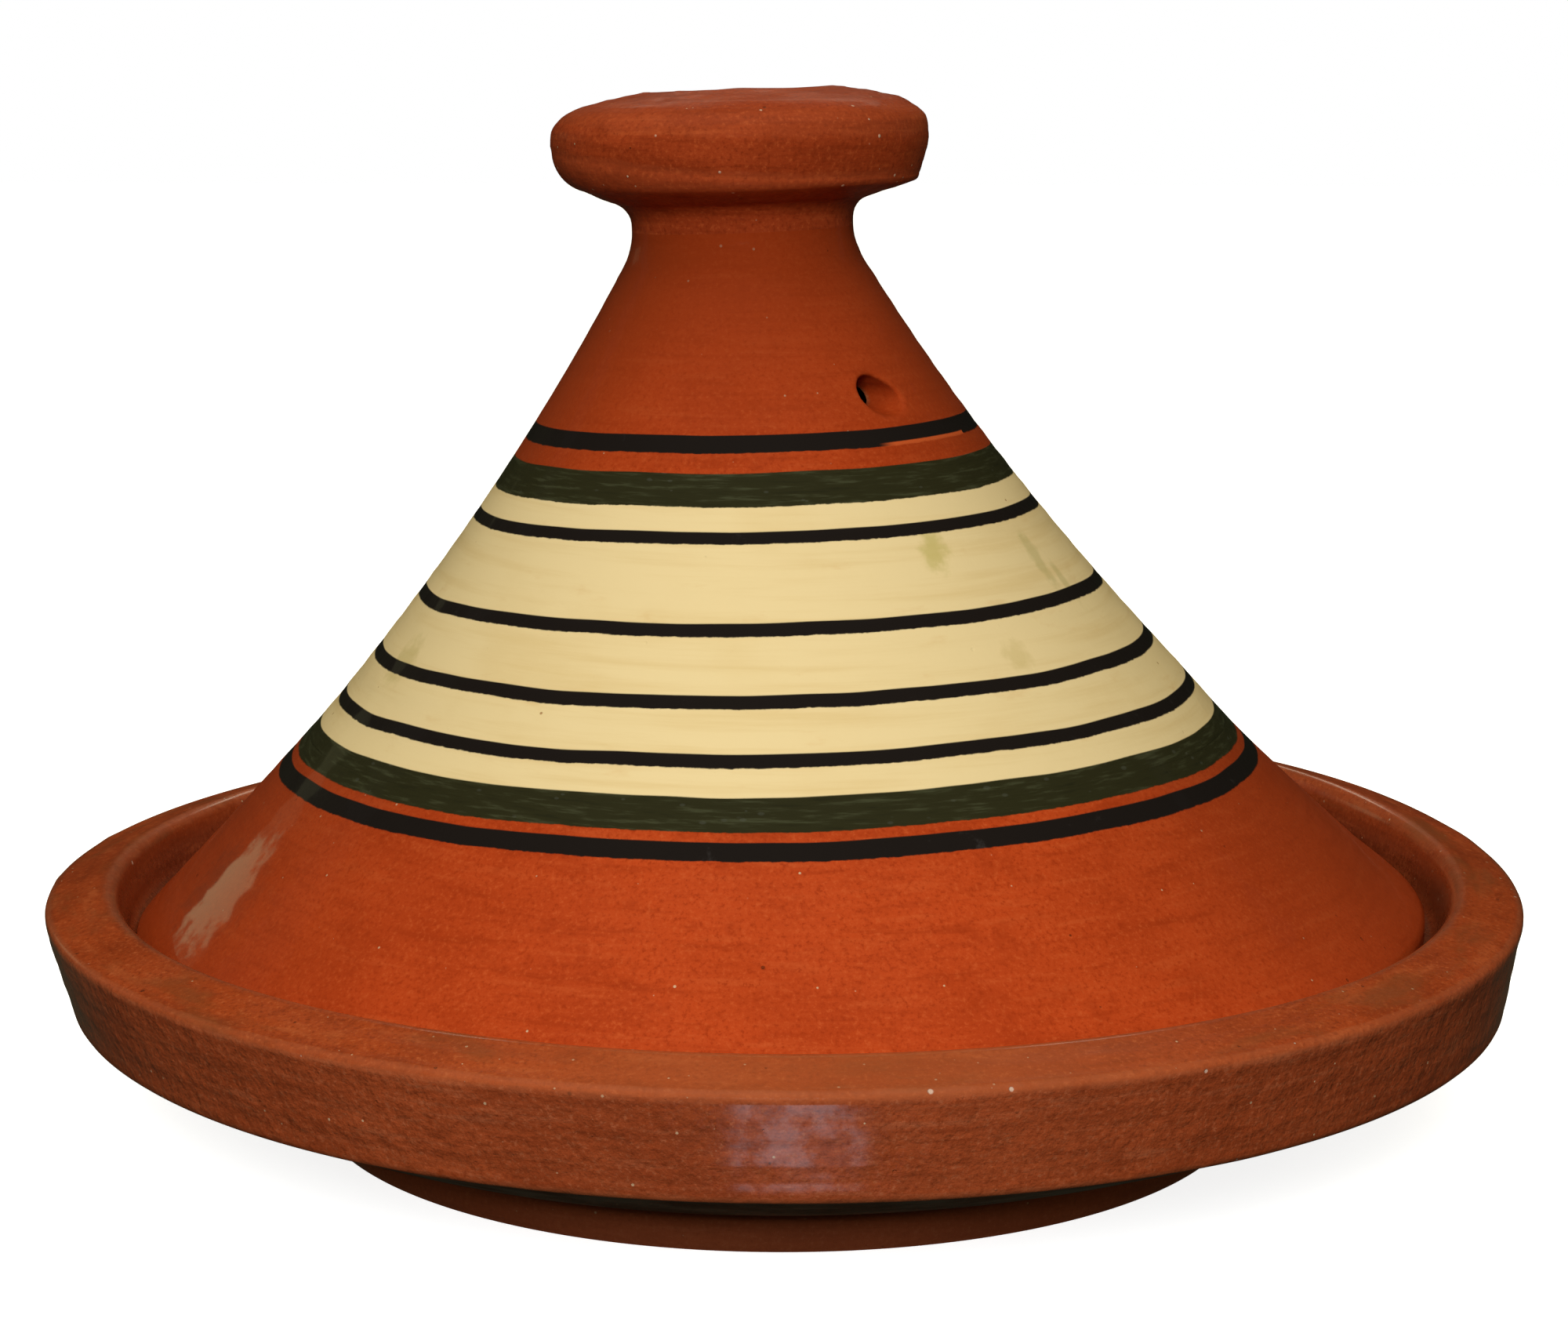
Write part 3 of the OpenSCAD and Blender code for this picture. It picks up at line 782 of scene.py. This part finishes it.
def lid_finish():
    material, w, shader, where = started("Lid Slip and Glaze")
    place, bearing = where["Place"], where["Bearing"]
    sideways = w.along(w.moved(place, tuple(-LEAN_FOOT)), (1.0, 0.0, 0.0))
    level = w.along(place, (0.0, BAND_DIP, 1.0))
    tilt = w.scaled(level, BAND_TILT_RISE, BAND_TILT - BAND_TILT_RISE * BAND_TILT_LOW_Z)
    height = w.maths("SUBTRACT", level, w.times(sideways, tilt))

    fired = w.effect(clay_group, Place=place, Clay=CLAY, Dark=CLAY_DARK, Pale=CLAY_PALE, Grit=0.5)
    darker_up = w.span(height, 118.0, 178.0, 0.0, 0.70)
    clay = w.over(darker_up, fired["Color"], CLAY_HIGH)
    # painted shade: the clay is darkened towards the lid's left and right, where the light falls off round
    # it
    side_shade = w.span(w.maths("ABSOLUTE", bearing), 25.0, 75.0, 0.0, 0.65)
    clay = w.over(side_shade, clay, CLAY_SIDE_SHADE)

    waver = w.scaled(w.cloud(place, 45.0, 2.0), 1.4, -0.7)
    teeth = w.scaled(w.cloud(place, 2.0, 3.0, 0.65), 0.44, -0.22)

    def band(edges):
        top, foot = edges
        return w.effect(band_group, Height=height, Top=top, Foot=foot, Waver=waver, Teeth=teeth)["Mask"]

    def bands(edges):
        total = band(edges[0])
        for pair in edges[1:]:
            total = w.maths("MAXIMUM", total, band(pair))
        return total

    # where the first band's stroke meets its own start: a thin pale line along its foot that ends in a step
    at_join = w.times(w.span(bearing, 26.0, 32.0), w.maths("LESS_THAN", bearing, 63.0))
    join_line = w.times(band(JOIN_LINE), at_join)
    black = bands(BLACK_BANDS)
    green = bands(GREEN_BANDS)
    slip = band(CREAM_BAND)

    # cream slip: faintly streaked, warmer where it lies thin, with ochre smudges and flecks
    drawn = w.effect(streak_group, Place=place, Length=60.0, Width=2.6)["Value"]
    cream = w.over(w.span(drawn, 0.45, 0.75, 0.0, 0.6), CREAM, CREAM_DEEP)
    cream = w.over(w.span(w.cloud(place, 30.0, 4.0), 0.50, 0.75, 0.0, 0.35), cream, CREAM_DEEP)
    smudge = w.effect(streak_group, Place=w.moved(place, (9.0, 4.0, 70.0)), Length=14.0, Width=4.0)["Value"]
    cream = w.over(w.span(smudge, 0.60, 0.80, 0.0, 0.35), cream, CREAM_OCHRE)
    flecks = w.effect(speck_group, Place=w.moved(place, (3.0, 40.0, 9.0)), Pitch=6.0, Size=0.30, Share=0.30)
    cream = w.over(w.times(flecks["Mask"], 0.8), cream, RUST)
    # each smudge: its bearing and height, its width and tallness, its strength and its colour
    for at, up, wide, tall, strength, tint in ((31.0, 123.5, 3.6, 3.8, 0.55, (0.42, 0.36, 0.08)),
                                               (38.0, 104.0, 3.0, 2.6, 0.30, (0.45, 0.34, 0.10)),
                                               (58.0, 119.0, 2.2, 6.0, 0.36, (0.34, 0.30, 0.09)),
                                               (62.0, 114.0, 1.4, 5.0, 0.32, (0.34, 0.30, 0.09)),
                                               (-66.0, 101.0, 3.2, 5.0, 0.40, (0.42, 0.34, 0.10)),
                                               (-150.0, 108.0, 4.5, 6.0, 0.40, (0.42, 0.36, 0.10)),
                                               (128.0, 118.0, 3.0, 5.0, 0.40, (0.40, 0.34, 0.10))):
        stain = w.effect(stain_group, Place=place, Bearing=bearing, Height=height, At_Bearing=at,
                         At_Height=up, Width=wide, Tallness=tall)["Mask"]
        cream = w.over(w.times(stain, strength), cream, tint)

    # black and green brushwork: streaks, scuffs and pale flecks
    brush = w.effect(streak_group, Place=w.moved(place, (50.0, 0.0, 0.0)), Length=9.0, Width=0.7)["Value"]
    scuffs = w.span(w.cloud(place, 9.0, 5.0, 0.75), 0.62, 0.80)
    ink = w.over(w.times(scuffs, 0.7), BLACK, BLACK_SCUFF)
    leaf = w.over(w.span(brush, 0.50, 0.72, 0.0, 0.8), GREEN, GREEN_THIN)
    leaf = w.over(w.span(brush, 0.45, 0.25, 0.0, 0.7), leaf, GREEN_THICK)
    pale = w.effect(speck_group, Place=w.stretched(place, (0.45, 0.45, 1.0)), Pitch=1.7, Size=0.30,
                    Share=0.42)
    leaf = w.over(w.times(pale["Mask"], w.span(scuffs, 0.0, 0.6, 0.25, 0.9)), leaf, GREEN_FLECK)

    colour = w.over(slip, clay, cream)
    colour = w.over(green, colour, leaf)
    colour = w.over(black, colour, ink)
    colour = w.over(join_line, colour, CLAY_PALE)

    bare = w.effect(clay_group, Place=place, Clay=(0.36, 0.085, 0.028), Dark=(0.22, 0.040, 0.012),
                    Pale=(0.46, 0.15, 0.06), Grit=1.0)
    inside = marked(w, "inside")
    colour = w.over(inside, colour, bare["Color"])
    worn = w.effect(wear_group, Place=place, Ridge=marked(w, "ridge"), Amount=0.5)["Mask"]
    colour = w.over(worn, colour, CLAY_PALE)

    painted = w.maths("MAXIMUM", w.maths("MAXIMUM", black, green), slip)
    glaze = w.effect(glaze_group, Place=place, Shiny=0.42, Dull=0.58)
    clay_relief = w.times(fired["Height"], w.span(painted, 0.0, 1.0, 0.8, 0.35))
    relief = w.maths("ADD", clay_relief, glaze["Height"])
    relief = w.scaled(w.maths("ADD", black, green), 0.05, relief)
    relief = w.scaled(slip, 0.06, relief)
    relief = w.scaled(inside, bare["Height"], relief)
    pooled = w.effect(stain_group, Place=place, Bearing=bearing, Height=height, At_Bearing=-66.0,
                      At_Height=57.5, Width=9.0, Tallness=10.5)["Mask"]
    coat = w.times(w.span(pooled, 0.0, 1.0, 0.12, 1.0), w.span(inside, 0.0, 1.0, 1.0, 0.5))
    surfaced(w, shader, colour, glaze["Roughness"], relief,
             specular=0.05, coat=coat, coat_roughness=0.06)
    return material


def knob_finish():
    material, w, shader, where = started("Knob Clay and Glaze")
    place = where["Place"]
    fired = w.effect(clay_group, Place=place, Clay=(0.33, 0.046, 0.0105), Dark=(0.20, 0.024, 0.0050),
                     Pale=(0.43, 0.080, 0.020), Grit=1.0)
    ridge = marked(w, "ridge")
    worn = w.effect(wear_group, Place=place, Ridge=ridge, Amount=0.15)["Mask"]
    colour = w.over(worn, fired["Color"], KNOB_WORN)
    crumbs = w.effect(speck_group, Place=w.moved(place, (7.0, 3.0, 1.0)), Pitch=2.6, Size=0.32, Share=0.35)
    at_edge = w.times(crumbs["Mask"], w.span(ridge, 0.35, 0.8))
    colour = w.over(w.times(at_edge, 0.7), colour, KNOB_CRUMB)
    glaze = w.effect(glaze_group, Place=place, Shiny=0.40, Dull=0.60)
    relief = w.maths("ADD", fired["Height"], glaze["Height"])
    relief = w.scaled(at_edge, 0.12, relief)
    surfaced(w, shader, colour, glaze["Roughness"], relief,
             specular=0.08, coat=0.05, coat_roughness=0.12)
    return material


def dish_finish():
    material, w, shader, where = started("Dish Clay and Glaze")
    place, bearing = where["Place"], where["Bearing"]
    inside, under, wall = marked(w, "inside"), marked(w, "under"), marked(w, "wall")
    fired = w.effect(clay_group, Place=place, Clay=(0.34, 0.052, 0.0095), Dark=(0.190, 0.026, 0.0045),
                     Pale=(0.46, 0.110, 0.032), Grit=1.0)
    top = fired["Color"]
    dry = w.effect(clay_group, Place=w.moved(place, (60.0, 0.0, 0.0)), Clay=(0.345, 0.066, 0.019),
                   Dark=(0.225, 0.038, 0.010), Pale=(0.42, 0.12, 0.05), Grit=1.0)
    glazed = w.effect(clay_group, Place=w.moved(place, (0.0, 60.0, 0.0)), Clay=(0.20, 0.036, 0.011),
                      Dark=(0.105, 0.017, 0.005), Pale=(0.30, 0.070, 0.022), Grit=0.4)
    # painted shade: the whole underside is coloured near-black brown to stand for the rim's shadow on it
    underside_shade = w.effect(clay_group, Place=w.moved(place, (0.0, 90.0, 0.0)), Clay=(0.170, 0.035, 0.014),
                        Dark=(0.085, 0.016, 0.007), Pale=(0.24, 0.060, 0.028), Grit=0.5)

    # the glaze on the rim pooled brown and ochre in places, and the rim is paler towards its front
    pooled = w.effect(streak_group, Place=place, Length=30.0, Width=3.0)["Value"]
    top = w.over(w.span(pooled, 0.52, 0.72, 0.0, 0.7), top, RIM_POOLED)
    near_front = w.maths("ABSOLUTE", w.maths("SUBTRACT", bearing, FRONT_BEARING))
    top = w.over(w.span(near_front, 8.0, 34.0, 0.45, 0.0), top, RIM_FRONT_PALE)

    ragged = w.scaled(w.cloud(place, 2.5, 4.0, 0.6), 0.5, -0.25)
    # painted shade: the wall is darkened towards its left and right ends, where the light falls off round
    # the dish
    at_sides = w.times(w.span(near_front, 58.0, 88.0, 0.0, 0.55),
                       w.span(near_front, 96.0, 130.0, 1.0, 0.0))
    side_shaded_wall = w.over(at_sides, dry["Color"], WALL_END_SHADE)
    colour = w.over(w.span(w.maths("ADD", wall, ragged), 0.3, 0.7), top, side_shaded_wall)
    colour = w.over(inside, colour, glazed["Color"])
    # painted shade laid over the underside
    colour = w.over(under, colour, underside_shade["Color"])
    foot = w.times(w.span(where["Reach"], FOOT_R - 2.0, FOOT_R - 1.0),
                   w.span(w.along(place, UP), UNDER_Z - 0.5, UNDER_Z + 1.5, 1.0, 0.0))
    colour = w.over(foot, colour, w.over(0.5, dry["Color"], FOOT_CLAY))
    ridge = marked(w, "ridge")
    worn = w.effect(wear_group, Place=place, Ridge=ridge, Amount=w.span(under, 0.0, 1.0, 0.30, 0.0))["Mask"]
    colour = w.over(worn, colour, DISH_WORN)
    chips = w.effect(speck_group, Place=w.moved(place, (2.0, 8.0, 1.0)), Pitch=3.4, Size=0.45, Share=0.16)
    chips = w.times(chips["Mask"], w.span(ridge, 0.2, 0.7))
    colour = w.over(w.times(chips, 0.8), colour, DISH_CHIP)

    lumps = w.maths("SUBTRACT", w.cloud(place, 4.5, 4.0, 0.6), 0.5)
    glaze = w.effect(glaze_group, Place=place, Shiny=0.34, Dull=0.52)
    relief = w.scaled(w.times(lumps, wall), 1.0, fired["Height"])
    relief = w.maths("ADD", relief, glaze["Height"])
    relief = w.scaled(chips, -0.15, relief)
    roughness = w.scaled(inside, -0.18, glaze["Roughness"])

    # a glossy coat: smeared over the wall, thin at its front, and along the edges of the rim
    smeared = w.times(w.span(w.cloud(place, 6.0, 4.0, 0.65), 0.36, 0.62, 0.15, 1.0),
                      w.span(near_front, 8.0, 30.0, 1.0, 0.2))
    side_gloss = w.span(near_front, 50.0, 82.0, 0.2, 1.0)
    smeared = w.times(wall, w.maths("MAXIMUM", smeared, side_gloss))
    height = w.along(place, UP)
    coat = w.maths("MAXIMUM", w.maths("MAXIMUM", smeared, 0.2),
                   w.times(ridge, w.span(height, RIM_EDGE_Z - 0.5, RIM_EDGE_Z + 0.5)))
    coat = w.times(coat, w.span(height, WALL_LOW_Z + 0.5, WALL_LOW_Z + 3.0))
    coat = w.maths("MAXIMUM", coat, w.times(inside, 0.8))
    surfaced(w, shader, colour, roughness, relief,
             specular=0.1, coat=coat, coat_roughness=0.16)
    return material


dish.data.materials.append(dish_finish())
lid.data.materials.append(lid_finish())
knob.data.materials.append(knob_finish())


# ---------------- floor, light and camera
def make_floor():
    """A plain pale floor that takes a faint contact shadow and throws no light up under the dish."""
    reach = 6.0
    mesh = bpy.data.meshes.new("Floor")
    mesh.from_pydata([(-reach, -reach, 0), (reach, -reach, 0), (reach, reach, 0), (-reach, reach, 0)],
                     [], [(0, 1, 2, 3)])
    floor = bpy.data.objects.new("Floor", mesh)
    bpy.context.collection.objects.link(floor)
    material = bpy.data.materials.new("Floor")
    material.use_nodes = True
    shader = material.node_tree.nodes["Principled BSDF"]
    for socket, value in (("Base Color", (0.9, 0.9, 0.9, 1)), ("Roughness", 0.9),
                          ("Specular IOR Level", 0.0), ("Emission Color", (1, 1, 1, 1)),
                          ("Emission Strength", 0.85)):
        shader.inputs[socket].default_value = value
    mesh.materials.append(material)
    floor.visible_diffuse = False
    floor.visible_glossy = False


def lamp(name, place, aim, size, power, colour, mirrored):
    """A soft rectangular light turned to face a place: it lights the clay, or is only mirrored in it."""
    data = bpy.data.lights.new(name, "AREA")
    data.shape = "RECTANGLE"
    data.size, data.size_y = size
    data.energy = power
    data.color = colour
    light = bpy.data.objects.new(name, data)
    bpy.context.collection.objects.link(light)
    place, aim = np.array(place, float), np.array(aim, float)
    light.location = place
    way = aim - place
    flat = math.hypot(way[0], way[1])
    light.rotation_euler = (math.atan2(flat, -way[2]), 0.0, math.atan2(-way[0], way[1]))
    light.visible_camera = False
    light.visible_diffuse = not mirrored
    light.visible_glossy = mirrored


def make_world():
    """White to look at, a dim room in reflections, and soft light from above for everything else."""
    world = bpy.data.worlds.new("Studio")
    world.use_nodes = True
    w = Wiring(world.node_tree)
    background = world.node_tree.nodes["Background"]
    path = w.put("ShaderNodeLightPath").outputs
    up = w.put("ShaderNodeSeparateXYZ", {0: w.put("ShaderNodeTexCoord").outputs["Generated"]}).outputs["Z"]
    fill = w.over(w.span(up, -0.15, 0.6), (0.035, 0.034, 0.022), (0.355, 0.315, 0.20))
    dim = w.over(w.span(up, -0.35, 0.0), (0.030, 0.037, 0.024), (0.012, 0.019, 0.012))
    room = w.over(path["Is Glossy Ray"], fill, dim)
    w.feed(background.inputs["Color"], w.over(path["Is Camera Ray"], room, (1.0, 1.0, 1.0)))
    bpy.context.scene.world = world


def make_camera():
    data = bpy.data.cameras.new("Camera")
    data.sensor_width = 36.0
    data.lens = 74.34
    camera = bpy.data.objects.new("Camera", data)
    camera.location = (0.0004, -0.6693, 0.2142)
    camera.rotation_euler = (math.radians(90 - 10.3), math.radians(-0.15), 0)
    bpy.context.collection.objects.link(camera)
    bpy.context.scene.camera = camera


make_floor()
make_world()
make_camera()

# each lamp: its name, place, aim, size, power and colour
LIGHTING = [
    ("Key", (-0.05, -0.85, 0.42), (0, 0, 0.09), (0.30, 0.22), 5.0, (1.0, 1.0, 1.0)),
    ("Overhead", (-0.1, -0.25, 1.1), (0, 0, 0.05), (1.2, 0.9), 4.3, (1.0, 0.94, 0.74)),
    ("Back Fill", (0.1, 1.0, 0.7), (0, 0, 0.08), (0.8, 0.5), 2.4, (1.0, 0.95, 0.82)),
]
MIRRORED = [
    ("Window", (-1.09, 1.05, 0.40), (-0.11, -0.05, 0.056), (0.34, 0.24), 0.13, (0.95, 0.92, 0.50)),
    ("Low Card", (0.004, -0.197, 0.002), (0.004, -0.197, 0.1), (0.035, 0.03), 0.007, (0.80, 0.86, 1.0)),
    ("Left Strip", (-1.6, 0.9, 0.5), (-0.1, 0, 0.07), (0.3, 1.2), 0.10, (0.95, 0.92, 1.0)),
    ("Right Strip", (1.6, 0.9, 0.5), (0.1, 0, 0.07), (0.3, 1.2), 0.10, (0.95, 0.92, 1.0)),
    ("Back Card", (0.0, 1.25, 0.95), (0, 0, 0.1), (0.70, 0.12), 0.8, (1.0, 0.90, 0.68)),
]
for rows, mirrored in ((LIGHTING, False), (MIRRORED, True)):
    for row in rows:
        lamp(*row, mirrored)
bpy.context.scene.view_settings.view_transform = "Standard"
